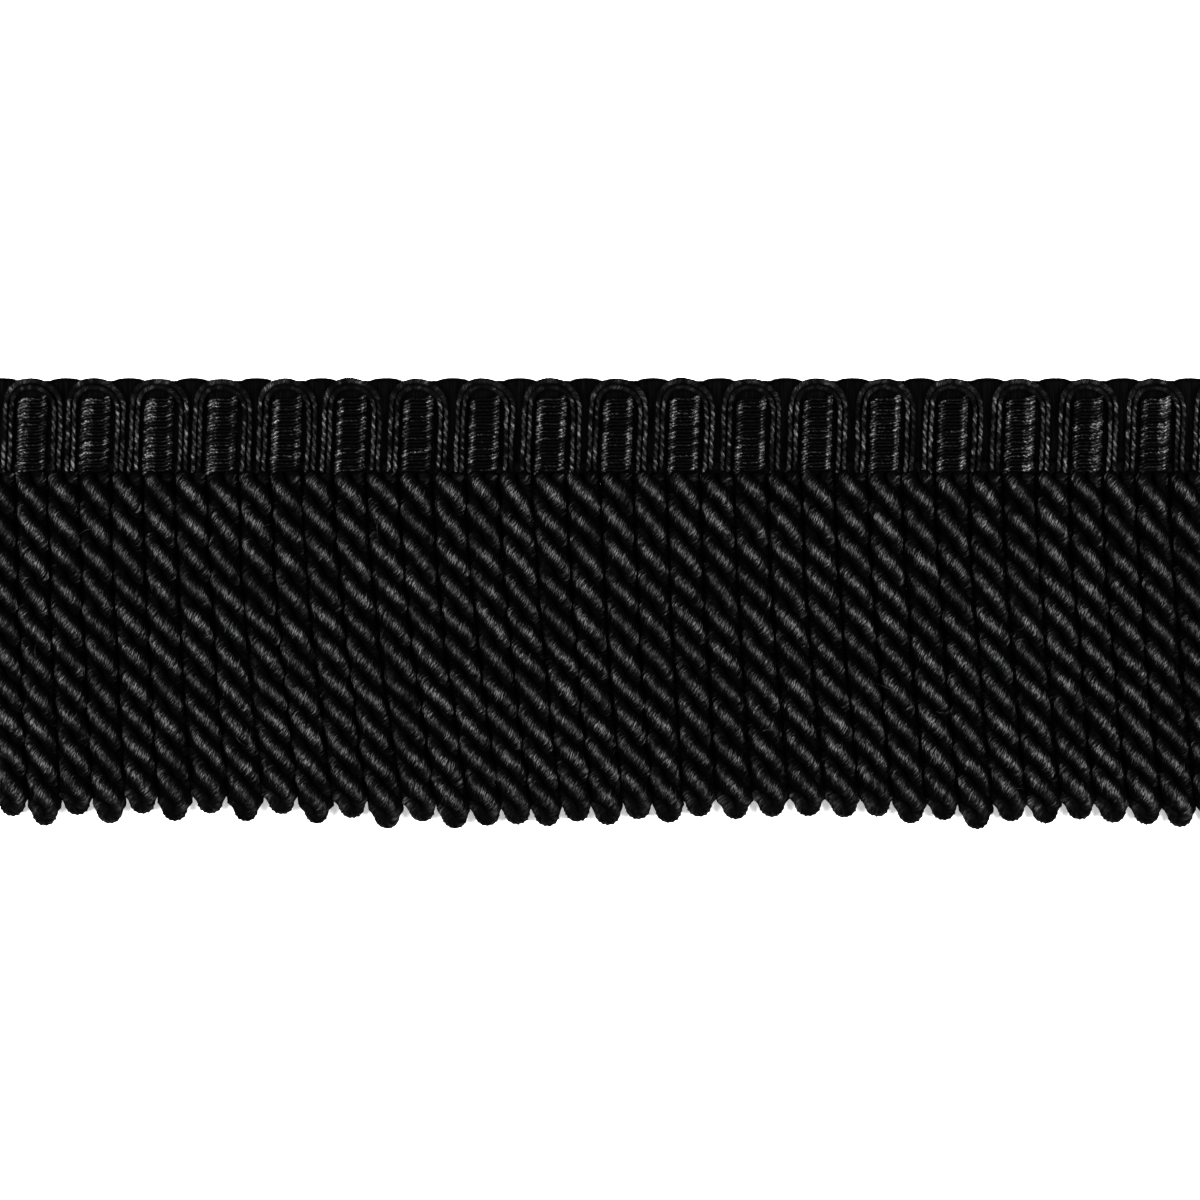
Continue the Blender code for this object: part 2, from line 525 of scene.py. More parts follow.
def squared(wave: np.ndarray, power: float) -> np.ndarray:
    """A wave with its swings made squarer and its signs kept."""
    return np.sign(wave) * np.abs(wave) ** power


def run_of(path: np.ndarray) -> np.ndarray:
    """Length along a path at each of its points."""
    steps = np.linalg.norm(np.diff(path, axis=0), axis=1)
    return np.concatenate([[0.0], np.cumsum(steps)])


def evenly(path: np.ndarray, spacing: float) -> np.ndarray:
    """Place points evenly along a path.

    Args:
        path: Points of the path.
        spacing: The distance wanted between points.

    Returns:
        Points of the same path, spaced as near to that as fits.
    """
    run = run_of(path)
    count = max(3, int(round(run[-1] / spacing)) + 1)
    places = np.linspace(0.0, run[-1], count)
    return np.stack([np.interp(places, run, path[:, axis]) for axis in range(3)], axis=-1)


def rounded(corners: np.ndarray, spacing: float, passes: int = 40) -> np.ndarray:
    """Turn a path's corners into bends.

    Args:
        corners: Points of the path.
        spacing: The distance wanted between points.
        passes: How far the bends are eased.

    Returns:
        Points of the eased path, with its ends kept.
    """
    path = evenly(corners, spacing)
    for _ in range(passes):
        path[1:-1] = (path[:-2] + 2 * path[1:-1] + path[2:]) / 4
    return evenly(path, spacing)


def carried(path: np.ndarray) -> tuple:
    """Carry a pair of cross directions along a path without turning them.

    Args:
        path: Points of the path.

    Returns:
        Two unit directions square to the path at each point.
    """
    ahead = unit(np.gradient(path, axis=0))
    first = np.empty_like(path)
    start = np.array([1.0, 0.0, 0.0] if abs(ahead[0][2]) >= STEEP else [0.0, 0.0, 1.0])
    side = start - ahead[0] * np.dot(start, ahead[0])
    for place, forward in enumerate(ahead):
        side = side - forward * np.dot(side, forward)
        side = side / math.sqrt(np.dot(side, side))
        first[place] = side
    return first, np.cross(ahead, first)


def tube(path: np.ndarray, radius: np.ndarray, turn: np.ndarray, around: int) -> np.ndarray:
    """Rings of points round a path.

    Args:
        path: Points of the path.
        radius: Rings by places round the strand, or one value for each ring.
        turn: How far each ring is turned, in radians.
        around: Places round the strand.

    Returns:
        The points, rings by places.
    """
    first, second = carried(path)
    angle = np.arange(around) * TURN / around + turn[:, None]
    reach = np.asarray(radius, float)
    if reach.ndim == 1:
        reach = reach[:, None]
    across = np.cos(angle)[..., None] * first[:, None] + np.sin(angle)[..., None] * second[:, None]
    return path[:, None] + across * np.broadcast_to(reach, angle.shape)[..., None]


def flecks(rng: np.random.Generator, shape: tuple, length: int) -> np.ndarray:
    """How strongly each short stretch of each fine yarn catches the light.

    Args:
        rng: The source of chance.
        shape: Rings by places round the strand.
        length: How many rings one fleck runs over.

    Returns:
        A factor about 0.8 for each point.
    """
    light = rng.uniform(*FLECK_RANGE, shape)
    return sum(np.roll(light, step, axis=0) for step in range(length)) / length


@dataclass(frozen=True)
class Ramp:
    """A soft step from 0 to 1: where it starts, and how far on it is done."""

    start: float
    over: float

    def at(self, place: np.ndarray) -> np.ndarray:
        """The step at each place."""
        return smooth((place - self.start) / self.over)


@dataclass(frozen=True)
class Wander:
    """A slow random wander: the distance between its turns, in millimetres, and its usual size."""

    step: float
    amount: float

    def along(self, rng: np.random.Generator, length: float, places: np.ndarray) -> np.ndarray:
        """The wander along a strand.

        Args:
            rng: The source of chance.
            length: How far the strand goes, in millimetres.
            places: Distances along it.

        Returns:
            How far it has wandered at each of them.
        """
        turns = np.arange(-self.step, length + 2 * self.step, self.step)
        return np.interp(places, turns, rng.normal(0.0, self.amount, len(turns)))


# Layout


@dataclass(frozen=True)
class Repeat:
    """Where the motifs and cords fall along the trim."""

    motifs: int = 19
    cords: int = 38
    close_pitch: float = 5.54
    open_pitch: float = 5.835
    close_cords: int = 12
    opening_x: float = -38.0
    lean: float = 0.038
    end: float = 2.6
    motif_end: float = 5.7
    heading_slide: tuple = (
        # motif, slide to the right
        (0, 0.0),
        (3, -0.2),
        (6, 0.4),
        (12, 0.0),
        (18, 0.6),
    )

    def cord_x(self, step: float) -> float:
        """Place of a cord's root along the trim."""
        pitch = self.close_pitch if step < self.close_cords else self.open_pitch
        return self.opening_x + (step - self.close_cords) * pitch

    def motif_x(self, motif: float) -> float:
        """Place of the middle of a motif. Half a motif is between two of them."""
        motifs, slides = zip(*self.heading_slide)
        return self.cord_x(2 * motif + 1) + float(np.interp(motif, motifs, slides))

    def bump_x(self, gap: int) -> float:
        """Place of the middle between two motifs."""
        return self.motif_x(gap - 0.5)

    def ends(self) -> tuple:
        """The left and right cut ends."""
        return self.cord_x(0) - self.end, self.motif_x(self.motifs - 1) + self.motif_end


REPEAT = Repeat()
BACK_THICK = 1.5


@dataclass
class Ground:
    """The woven ground of the heading, with a round loop standing up between two arches."""

    foot: float = -6.15
    crest: float = 7.95
    bump_top: float = 8.45
    bump_half: float = 2.6
    bump_round: float = 0.6
    bump_mean: float = 0.35
    step: float = 0.35
    edge: float = 0.55
    edge_turn: float = 0.35
    edge_rows: int = 5
    face_inset: float = 0.4
    rows: int = 18
    weft_pitch: float = 0.7
    weft_height: float = 0.05
    weft_fade: float = 0.3
    finish: GroundFinish = GroundFinish("woven_ground")

    def top(self, x: np.ndarray) -> np.ndarray:
        """Height of the looped edge at each place along the trim."""
        line = np.full_like(x, self.crest)
        for gap in range(REPEAT.motifs + 1):
            middle = REPEAT.bump_x(gap) + REPEAT.lean * self.bump_top
            share = np.clip(1 - ((x - middle) / self.bump_half) ** 2, 0.0, 1.0)
            bump = (self.bump_top - self.crest) * share**self.bump_round
            line = np.maximum(line, self.crest + bump)
        return line

    def build(self) -> bpy.types.Object:
        """Build and dress the ground.

        Returns:
            The ground, which replaces its solid.
        """
        left, right = REPEAT.ends()
        columns = int((right - left) / self.step)
        x = np.linspace(left, right, columns)
        top = self.top(x)
        share = np.linspace(0.0, 1.0, self.rows)
        inset = self.edge * self.face_inset
        face_y = self.foot + inset + (top - self.foot - 2 * inset)[:, None] * share
        weft = self.weft_height * np.cos(TURN * x / self.weft_pitch)[:, None]
        face_z = BACK_THICK - self.weft_height + weft * np.sin(math.pi * share) ** self.weft_fade
        turn = np.linspace(self.edge_turn, math.pi - self.edge_turn, self.edge_rows)
        half = BACK_THICK / 2
        edge_y = (top - self.edge)[:, None] + self.edge * np.sin(turn)
        edge_z = np.broadcast_to(half + half * np.cos(turn), edge_y.shape)
        back_y = np.stack([top - self.edge, np.full_like(x, self.foot + self.edge)], axis=-1)
        back_z = np.zeros_like(back_y)
        foot_y = np.broadcast_to(self.foot + self.edge - self.edge * np.sin(turn), edge_y.shape)
        foot_z = np.broadcast_to(half - half * np.cos(turn), edge_y.shape)
        y = np.concatenate([face_y, edge_y, back_y, foot_y], axis=1)
        z = np.concatenate([face_z, edge_z, back_z, foot_z], axis=1)
        rings = np.stack([np.broadcast_to(x[:, None], y.shape), y, z], axis=-1)
        skein = Skein()
        skein.sweep(rings, x - left, np.full(y.shape, 0.5))
        made = skein.make("woven_ground", self.finish.make())
        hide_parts("heading_back")
        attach(made, "root")
        width, height = right - left, self.bump_top - self.foot
        area = width * (self.crest + self.bump_mean - self.foot)
        width * MM
        height * MM
        area * MM * MM
        return made


@dataclass
class GimpArches:
    """Arches of two gimp strands side by side: twisted on the legs, wrapped across over the top."""

    path: tuple = (
        # x, y
        (-4.2, -8.1),
        (-4.2, 4.2),
        (-3.9, 5.6),
        (-3.1, 6.7),
        (-1.8, 7.25),
        (-0.3, 7.4),
        (1.2, 7.1),
        (2.6, 6.4),
        (3.7, 5.3),
        (4.3, 4.0),
        (4.4, 2.6),
        (4.4, -8.1),
    )
    apart: float = 0.52
    apart_top: float = 0.5
    over_top: Ramp = Ramp(4.0, 1.4)
    wander: Wander = Wander(2.5, 0.06)
    radius: float = 0.46
    radius_top: float = 0.6
    swell: Wander = Wander(1.2, 0.06)
    clear: float = 0.1
    dive: float = 0.2
    dive_foot: Ramp = Ramp(7.2, 0.9)
    lay: float = 2.8
    lay_vary: float = 0.06
    waist: float = 0.62
    lobe_power: float = 0.8
    wrapped: float = 0.93
    around: int = 14
    step: float = 0.2
    # lobe_least sets the painted shade in the waist between plies; lit sets the painted highlight
    # on each strand's upper side.
    lobe_least: float = 0.25
    outer_top: float = 0.6
    inner_top: float = 0.4
    lit: Ramp = Ramp(0.3, 0.5)
    fleck_rings: int = 2
    glow: float = 0.7
    glow_wander: Wander = Wander(0.7, 0.48)
    glow_range: tuple = (0.08, 1.5)
    shoulder_x: Ramp = Ramp(1.2, 1.2)
    shoulder_y: Ramp = Ramp(3.4, 1.2)
    shoulder_dark: float = 0.3
    shine: float = 0.5
    shine_wander: Wander = Wander(2.2, 0.16)
    seed: int = 100
    finish: YarnFinish = YarnFinish(
        "gimp", shade_tone=0.0006, crest=0.03, gloss=0.52, yarns=9, dash=0.4, fibre_depth=0.15,
        wraps=0.42, specular=0.28, least=0.4,
    )

    def line(self, side: float, rng: np.random.Generator, middle: float) -> np.ndarray:
        """The path of one strand of one arch.

        Args:
            side: 1 for the outer strand and -1 for the inner one.
            rng: The source of chance.
            middle: Place of the motif along the trim.

        Returns:
            Evenly spaced points of the path.
        """
        path = rounded(np.array([(x, y, 0.0) for x, y in self.path]), self.step)
        ahead = unit(np.gradient(path, axis=0))
        out = np.stack([-ahead[:, 1], ahead[:, 0], np.zeros(len(path))], axis=-1)
        over = self.over_top.at(path[:, 1])
        apart = self.apart + (self.apart_top - self.apart) * over
        run = run_of(path)
        wander = self.wander.along(rng, run[-1], run)
        path = path + out * (side * apart + wander)[:, None]
        path[:, 0] += middle + REPEAT.lean * path[:, 1]
        radius = self.radius + (self.radius_top - self.radius) * over
        dive = self.dive_foot.at(-path[:, 1]) * self.dive
        path[:, 2] = BACK_THICK + radius + self.clear - dive
        return evenly(path, self.step)

    def strand(self, side: float, rng: np.random.Generator, skein: Skein, middle: float) -> None:
        """Add one strand of one arch.

        Args:
            side: 1 for the outer strand and -1 for the inner one.
            rng: The source of chance.
            skein: Where it is gathered.
            middle: Place of the motif along the trim.
        """
        line = self.line(side, rng, middle)
        run = run_of(line)
        over = self.over_top.at(line[:, 1])[:, None]
        phase = rng.uniform(0, TURN)
        lay = self.lay * (1 + self.lay_vary * rng.normal())
        around = np.arange(self.around) * TURN / self.around
        lobe = np.abs(np.cos(around))[None, :]
        twisted = self.waist + (1 - self.waist) * lobe**self.lobe_power
        size = self.radius + (self.radius_top - self.radius) * over
        size = size * (1 + self.swell.along(rng, run[-1], run))[:, None]
        reach = size * (twisted * (1 - over) + self.wrapped * over)
        rings = tube(line, reach, phase - run * TURN / lay, self.around)
        top = self.outer_top if side > 0 else self.inner_top
        # Painted light: the lobes of the plies are coloured lighter than the waist between them, a
        # painted shade, and the upper side of each strand is painted lit.
        crest = (self.lobe_least + (1 - self.lobe_least) * lobe) * (1 - over) + top * over
        raised = (rings - line[:, None])[..., 2] / reach
        crest = crest * flecks(rng, crest.shape, self.fleck_rings) * self.lit.at(raised)
        glow = self.glow + self.glow_wander.along(rng, run[-1], run)
        crest = crest * np.clip(glow, *self.glow_range)[:, None]
        aside = line[:, 0] - middle - REPEAT.lean * line[:, 1]
        shoulder = self.shoulder_x.at(aside) * self.shoulder_y.at(line[:, 1])
        crest = crest * (1 - self.shoulder_dark * shoulder)[:, None]
        shine = self.shine + self.shine_wander.along(rng, run[-1], run)
        skein.sweep(rings, run, crest, np.clip(shine, *SHINE_RANGE)[:, None], over)

    def build(self) -> list:
        """Build and dress every arch.

        Returns:
            The arches, each of which replaces its own solid.
        """
        finish = self.finish.make()
        made = []
        for motif in range(REPEAT.motifs):
            rng = np.random.default_rng(self.seed + motif)
            skein = Skein()
            for side in (1.0, -1.0):
                self.strand(side, rng, skein, REPEAT.motif_x(motif))
            arch = skein.make(f"gimp_arch_{motif + 1:02d}_strands", finish)
            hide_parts(f"gimp_arch_{motif + 1:02d}")
            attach(arch, "root")
            made.append(arch)
        return made


@dataclass
class RibPanels:
    """Raised panels of fine threads laid across, whose ends slant along both edges."""

    half: float = 2.3
    half_vary: float = 0.06
    foot: float = -8.0
    head: float = 4.9
    end: float = 0.3
    ribs: int = 21
    height: float = 1.55
    height_vary: float = 0.04
    sink: float = 0.45
    sink_side: Ramp = Ramp(0.6, 1.1)
    roundness: float = 2.8
    square: float = 0.85
    points: int = 21
    step: float = 0.3
    thread: float = 0.33
    thread_middle: float = 0.24
    thread_vary: float = 0.05
    slant: float = 0.55
    slant_from: float = 1.3
    place_vary: float = 0.04
    tilt_vary: float = 0.02
    twist: float = 0.9
    around: int = 8
    # Painted light on the flanks: lighter flanks, a darker middle, and a wider highlight on the
    # side of the nearer lamp.
    flank_glow: float = 0.9
    flank_uneven: tuple = (0.3, 1.5)
    middle_glow: float = 0.17
    middle_uneven: tuple = (0.2, 1.6)
    middle_broken: float = 2.6
    glow_from: float = 1.35
    glow_over: float = 0.55
    wide_glow: float = 1.4
    wide_end: Ramp = Ramp(0.5, 0.2)
    wide_dark: float = 0.15
    far_side_painted_shade: float = 0.45
    shine: float = 0.3
    flank_shine: float = 0.45
    shine_vary: float = 0.12
    shine_range: tuple = (0.1, 0.95)
    seed: int = 300
    finish: YarnFinish = YarnFinish(
        "ribbed_thread", shade_tone=0.0006, crest=0.028, gloss=0.4, yarns=5, dash=0.4,
        fibre_depth=0.08, specular=0.4, least=0.3,
    )

    def flank(self, across: np.ndarray, motif: int) -> np.ndarray:
        """How far each point is on a flank of its panel, where the thread is fuller and shinier,
        and where painted highlight is laid.

        Args:
            across: Distances to the right of the panel's middle.
            motif: The motif's number from the left.

        Returns:
            0 in the middle and 1 on a flank. The flank nearer the trim's end, which faces the
            nearer lamp, has the wider painted highlight, and the other flank is painted darker
            towards the trim's ends.
        """
        place = 2 * motif / (REPEAT.motifs - 1) - 1
        wide = float(self.wide_end.at(abs(place)))
        toward = across * math.copysign(1.0, place)
        reach = self.glow_from - self.wide_glow * wide
        near = smooth((toward - reach) / (self.glow_over * (1 + wide)))
        near = near * (1 - self.wide_dark * wide)
        far = smooth((-toward - self.glow_from) / self.glow_over)
        return np.maximum(near, far * (1 - self.far_side_painted_shade * abs(place)))

    def rib(self, y: float, rng: np.random.Generator, skein: Skein, motif: int) -> None:
        """Add one rib.

        Args:
            y: Its place up the panel.
            rng: The source of chance.
            skein: Where it is gathered.
            motif: The motif's number from the left.
        """
        middle = REPEAT.motif_x(motif)
        turn = np.linspace(-math.pi / 2, math.pi / 2, self.points)
        half = self.half + rng.normal(0, self.half_vary)
        x = half * squared(np.sin(turn), self.square)
        crown = np.cos(turn) ** (2 / self.roundness)
        edge = smooth((np.abs(x) - self.slant_from) / (half - self.slant_from))
        z = BACK_THICK + self.thread + (self.height - self.thread) * crown
        z += rng.normal(0, self.height_vary) - self.sink * (1 - self.sink_side.at(np.abs(x)))
        lift = self.slant * edge * np.sign(x) + rng.normal(0, self.place_vary)
        here = y + (lift + rng.normal(0, self.tilt_vary) * x)
        path = np.stack([middle + x + REPEAT.lean * here, here, z], axis=-1)
        path = evenly(path, self.step)
        share = self.flank(path[:, 0] - middle - REPEAT.lean * y, motif)
        size = self.thread_middle + (self.thread - self.thread_middle) * share
        size = size * (1 + rng.normal(0, self.thread_vary))
        run = run_of(path)
        rings = tube(path, size, rng.uniform(0, TURN) + run * self.twist, self.around)
        # The middle of each rib is painted darker than its flanks, partly a duller thread and
        # partly painted shade; the flanks carry painted highlight, wider on the side of the nearer
        # lamp.
        middle_glow = self.middle_glow * rng.uniform(*self.middle_uneven)
        glow = self.flank_glow * rng.uniform(*self.flank_uneven)
        glow = glow * (middle_glow + (1 - middle_glow) * share)
        broken = 1 + self.middle_broken * (1 - share)
        crest = glow[:, None] * flecks(rng, rings.shape[:2], 1) ** broken[:, None]
        shine = self.shine + self.flank_shine * share + rng.normal(0, self.shine_vary)
        skein.sweep(rings, run, crest, np.clip(shine, *self.shine_range)[:, None])

    def build(self) -> list:
        """Build and dress every panel.

        Returns:
            The panels, each of which replaces its own solid.
        """
        finish = self.finish.make()
        made = []
        pitch = (self.head - self.foot - 2 * self.end) / (self.ribs - 1)
        for motif in range(REPEAT.motifs):
            rng = np.random.default_rng(self.seed + motif)
            skein = Skein()
            for rib in range(self.ribs):
                self.rib(self.foot + self.end + rib * pitch, rng, skein, motif)
            panel = skein.make(f"rib_panel_{motif + 1:02d}_threads", finish)
            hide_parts(f"rib_panel_{motif + 1:02d}")
            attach(panel, "root")
            made.append(panel)
        return made


@dataclass(frozen=True)
class RootStrip:
    """The narrow strip that holds the cords' roots."""

    top: float = -6.05
    foot: float = -8.6
    under: float = 1.3
    step: float = 0.35
    around: int = 16
    square: float = 0.35
    weft: float = 0.03
    crest: float = 0.1

    def make(self, finish: bpy.types.Material) -> bpy.types.Object:
        """Build the strip.

        Args:
            finish: The cord yarn's material.

        Returns:
            The strip.
        """
        left, right = REPEAT.ends()
        x = np.linspace(left, right, int((right - left) / self.step))
        turn = np.arange(self.around) * TURN / self.around
        foot = self.foot - self.under
        half_y, half_z = (self.top - foot) / 2, BACK_THICK / 2
        y = (self.top + foot) / 2 + squared(np.cos(turn), self.square) * half_y
        z = squared(np.sin(turn), self.square) * half_z
        weft = 1 - self.weft * (np.arange(len(x)) % 2)
        around = (len(x), self.around)
        rings = np.stack(
            [
                np.broadcast_to(x[:, None], around),
                np.broadcast_to(y, around),
                half_z + z * weft[:, None],
            ],
            axis=-1,
        )
        skein = Skein()
        skein.sweep(rings, x - left, np.full(around, self.crest))
        return skein.make("skirt_strip", finish)


@dataclass(frozen=True)
class LooseFibre:
    """Fibre ends that have worked their way out of the cords."""

    most: int = 1
    from_root: float = 3.0
    from_end: float = 5.0
    aside: float = 1.3
    curl: float = 1.3
    length: tuple = (1.6, 3.6)
    sunk: float = 0.3
    rise: float = 0.45
    radius: float = 0.055
    taper: float = 1.1
    points: int = 12
    around: int = 4
    crest: float = 0.7
    shine: float = 0.6


@dataclass
class Skirt:
    """The looped cords: each is one continuous length, doubled and twisted on itself."""

    strip: RootStrip = RootStrip()
    loose: LooseFibre = LooseFibre()
    seed: int = 700
    per_piece: int = 10
    # The cord's middle line
    level: float = 2.7
    root: float = 1.1
    root_rise: Ramp = Ramp(-0.8, 1.5)
    swing_power: float = 1.5
    sway: Wander = Wander(8.0, 0.17)
    sway_root: Ramp = Ramp(0.0, 4.0)
    sway_end: Ramp = Ramp(0.0, 6.0)
    # The two sides of the bundle round it
    helix: float = 1.5
    ply: float = 1.26
    half_turns: float = 10.0
    turns_vary: tuple = (-0.1, 0.06)
    untwist: float = 0.5
    twist: Wander = Wander(6.0, 0.13)
    twist_end: Ramp = Ramp(0.0, 4.0)
    root_size: float = 0.3
    root_grow: Ramp = Ramp(-0.95, 1.3)
    end_tilt: float = 0.2
    end_close: tuple = (0.28, 0.38)
    end_close_over: float = 2.2
    end_swell: float = 0.12
    end_bend: int = 13
    fine: int = 420
    step: float = 0.42
    # The bundle's section, pressed against the other side and the neighbours
    corner: float = 3.0
    grazing: float = 0.05
    packing: float = 0.85
    press_root: Ramp = Ramp(-0.5, 2.0)
    press_end: Ramp = Ramp(0.0, 3.4)
    under: Ramp = Ramp(-0.15, 0.6)
    touch: float = 0.08
    half_range: tuple = (2.0, 3.2)
    lock: float = 0.25
    lock_rise: Ramp = Ramp(-0.3, 0.9)
    low: Ramp = Ramp(0.1, 0.9)
    low_end: float = 1.1
    round_end: Ramp = Ramp(3.0, 4.0)
    spread_out: Ramp = Ramp(0.0, 0.9)
    spread_root: Ramp = Ramp(-0.8, 0.8)
    spread_end: Ramp = Ramp(2.4, 1.1)
    table_gap: float = 0.02
    # Its yarns
    yarns: int = 10
    yarn_lay: float = 3.6
    yarn_lay_vary: float = 0.05
    thick: Wander = Wander(3.0, 0.02)
    uneven: float = 0.012
    groove: float = 0.11
    # Painted highlight and shade: what is coloured as lit, and what as shaded
    upward: float = 2.3
    upward_edge: float = 0.6
    ragged: float = 0.1
    lit_from: float = 0.7
    lit_taper: float = 0.13
    lit_over: float = 0.55
    lit_least: float = 0.16
    lit_side: Ramp = Ramp(-0.95, 0.75)
    end_over: Ramp = Ramp(0.0, 5.0)
    end_painted_shade: float = 0.75
    furrow: float = 0.3
    fleck: float = 0.35
    shine: float = 0.5
    shine_wander: Wander = Wander(2.0, 0.2)
    loop_ends: tuple = (
        # cord, drop below the strip, how much lower every second cord hangs, swing to the right
        (0, 60.4, 1.8, 2.3),
        (5, 59.7, 1.4, 2.9),
        (8, 59.8, 1.2, 5.0),
        (12, 61.3, 1.6, 7.4),
        (14, 61.2, 0.0, 7.0),
        (17, 60.9, -0.8, 5.1),
        (21, 60.0, -0.8, 2.9),
        (25, 59.5, 0.5, 4.9),
        (29, 61.2, 1.2, 4.6),
        (32, 60.2, 0.2, 5.0),
        (35, 61.4, 0.0, 5.0),
        (37, 60.6, 0.5, 5.1),
    )
    finish: YarnFinish = YarnFinish(
        "cord_yarn", shade_tone=0.0004, crest=0.029, gloss=0.5, yarns=30, dash=0.3,
        fibre_depth=0.2, specular=0.3, least=0.12, fleck_from=0.41, fleck_gain=5.5,
    )

    def loop_end(self, index: int) -> tuple:
        """Where a cord's loop end lies.

        Args:
            index: The cord's number from the left.

        Returns:
            Its drop below the strip and its swing to the right, in millimetres.
        """
        cords, drops, steps, swings = zip(*self.loop_ends)
        lower = float(np.interp(index, cords, steps)) / 2
        drop = float(np.interp(index, cords, drops)) + (lower if index % 2 else -lower)
        return drop, float(np.interp(index, cords, swings))

    def centre(self, index: int, down: np.ndarray) -> np.ndarray:
        """The middle line of a cord.

        Args:
            index: The cord's number from the left.
            down: Distances below the strip.

        Returns:
            Points on the middle line.
        """
        drop, swing = self.loop_end(index)
        share = np.clip(down / drop, 0.0, None) ** self.swing_power
        root = BACK_THICK / 2
        return np.stack(
            [
                REPEAT.cord_x(index) + swing * share,
                self.strip.foot - down,
                root + (self.level - root) * self.root_rise.at(down),
            ],
            axis=-1,
        )

    def loop(self, index: int, rng: np.random.Generator) -> np.ndarray:
        """The path of the yarn bundle down one side of a cord, round its end and back.

        Args:
            index: The cord's number from the left.
            rng: The source of chance.

        Returns:
            Evenly spaced rows of x, y, z, the direction away from the cord's middle, the share
            of full size, and how far the bundle is pressed against the other one.
        """
        drop, _ = self.loop_end(index)
        close = rng.uniform(*self.end_close)
        last = drop - self.helix * (1 - close) - self.ply * (1 + self.end_swell)
        down = np.linspace(-self.root, last, self.fine)
        left = last - down
        half_turns = self.half_turns + rng.uniform(*self.turns_vary)
        eased = left - self.untwist * (1 - np.exp(-left / self.untwist))
        whole = last - self.untwist
        phase = rng.normal(0, self.end_tilt) + half_turns * math.pi * eased / whole
        phase += self.twist.along(rng, drop, down) * self.twist_end.at(left)
        size = self.root_size + (1 - self.root_size) * self.root_grow.at(down)
        pressed = self.press_end.at(left) * self.press_root.at(down)
        spread = self.helix * size * (1 - close * np.exp(-left / self.end_close_over))
        middle = self.centre(index, down)
        sway = self.sway.along(rng, drop, down)
        middle[:, 0] += sway * self.sway_end.at(left) * self.sway_root.at(down)
        side = np.stack([np.cos(phase), np.zeros_like(phase), np.sin(phase)], axis=-1)
        bend = np.linspace(0.0, math.pi, self.end_bend)[1:-1, None]
        forward = unit(middle[-1] - middle[-2])
        outward = np.cos(bend) * side[-1] + np.sin(bend) * forward
        rest = np.zeros((len(bend), 2)) + (1.0, 0.0)
        state = np.stack([size, pressed], axis=-1)
        first = np.concatenate([middle + side * spread[:, None], side, state], axis=1)
        turn = np.concatenate([middle[-1] + spread[-1] * outward, outward, rest], axis=1)
        second = np.concatenate([middle - side * spread[:, None], -side, state], axis=1)[::-1]
        rows = np.concatenate([first, turn, second])
        run = run_of(rows[:, :3])
        places = np.linspace(0.0, run[-1], int(run[-1] / self.step))
        return np.stack([np.interp(places, run, column) for column in rows.T], axis=-1)

    def section(self, cosine: np.ndarray, pressed: np.ndarray) -> np.ndarray:
        """Reach of a bundle's surface from its middle.

        Args:
            cosine: Cosine of the angle from the direction away from the cord's middle.
            pressed: 0 where the bundle is round and 1 where it is pressed flat.

        Returns:
            The reach, in millimetres.
        """
        outside = self.helix + self.ply
        curve = -self.helix * cosine + np.sqrt(outside**2 - self.helix**2 * (1 - cosine**2))
        flat = self.helix / np.maximum(-cosine, self.grazing)
        half = (curve**-self.corner + flat**-self.corner) ** (-1 / self.corner)
        return self.ply + (half - self.ply) * pressed * self.packing

    def settle(self, index: int, points: np.ndarray) -> None:
        """Spread a cord's underside against its neighbours, as soft yarn lies on a table.

        Args:
            index: The cord's number from the left.
            points: Its points, which are moved.
        """
        down = self.strip.foot - points[..., 1]
        here = self.centre(index, down)[..., 0]
        away = points[..., 0] - here
        room = []
        for other in (index - 1, index + 1):
            if 0 <= other < REPEAT.cords:
                room.append(np.abs(self.centre(other, down)[..., 0] - here) / 2 + self.touch)
            else:
                room.append(np.full_like(away, self.helix + self.ply))
        limit = np.clip(np.where(away < 0, room[0], room[1]), *self.half_range)
        limit = limit + self.lock * self.lock_rise.at(points[..., 2] - self.level)
        left = self.loop_end(index)[0] - down
        near_end = 1 - self.round_end.at(left)
        low = self.low.at(self.level + self.low_end * near_end - points[..., 2])
        low = low * self.spread_end.at(left) * self.spread_root.at(down)
        reach = np.abs(away)
        pushed = reach + low * np.maximum(limit - reach, 0.0) * self.spread_out.at(reach)
        points[..., 0] = here + np.sign(away) * np.minimum(pushed, limit)
        points[..., 2] = np.maximum(points[..., 2], self.table_gap)

    def glow(
        self,
        crest: np.ndarray,
        spokes: np.ndarray,
        outward: np.ndarray,
        near_end: np.ndarray,
        rng: np.random.Generator,
    ) -> np.ndarray:
        """How lit each point of a bundle is painted: painted highlight on the parts that face up
        and out, painted shade on its underside, in the furrows between fine yarns and towards the
        loop end.

        Args:
            crest: 1 on a fine yarn and 0 in the furrow beside it.
            spokes: Directions from the bundle's middle to its points.
            outward: Each ring's direction away from the cord's middle.
            near_end: How near the cord's end each ring is.
            rng: The source of chance.

        Returns:
            0 for the darkest and 1 for the brightest.
        """
        # Painted highlight: points that face up and out are coloured lit, as if the lamps fell on
        # them.
        height = np.maximum(outward[:, 2:], 0.0)
        upward = self.upward_edge + (self.upward - self.upward_edge) * height
        shown = unit(outward + upward * np.array([0.0, 0.0, 1.0]))
        facing = np.einsum("ijk,ik->ij", spokes, shown)
        facing = facing + rng.normal(0, self.ragged, facing.shape)
        lit_from = self.lit_from + self.lit_taper * (1 - height)
        lit = smooth((facing - lit_from) / (self.lit_over * (1 - lit_from)))
        lit = lit * self.lit_side.at(outward[:, 2:])
        lit = self.lit_least + (1 - self.lit_least) * lit
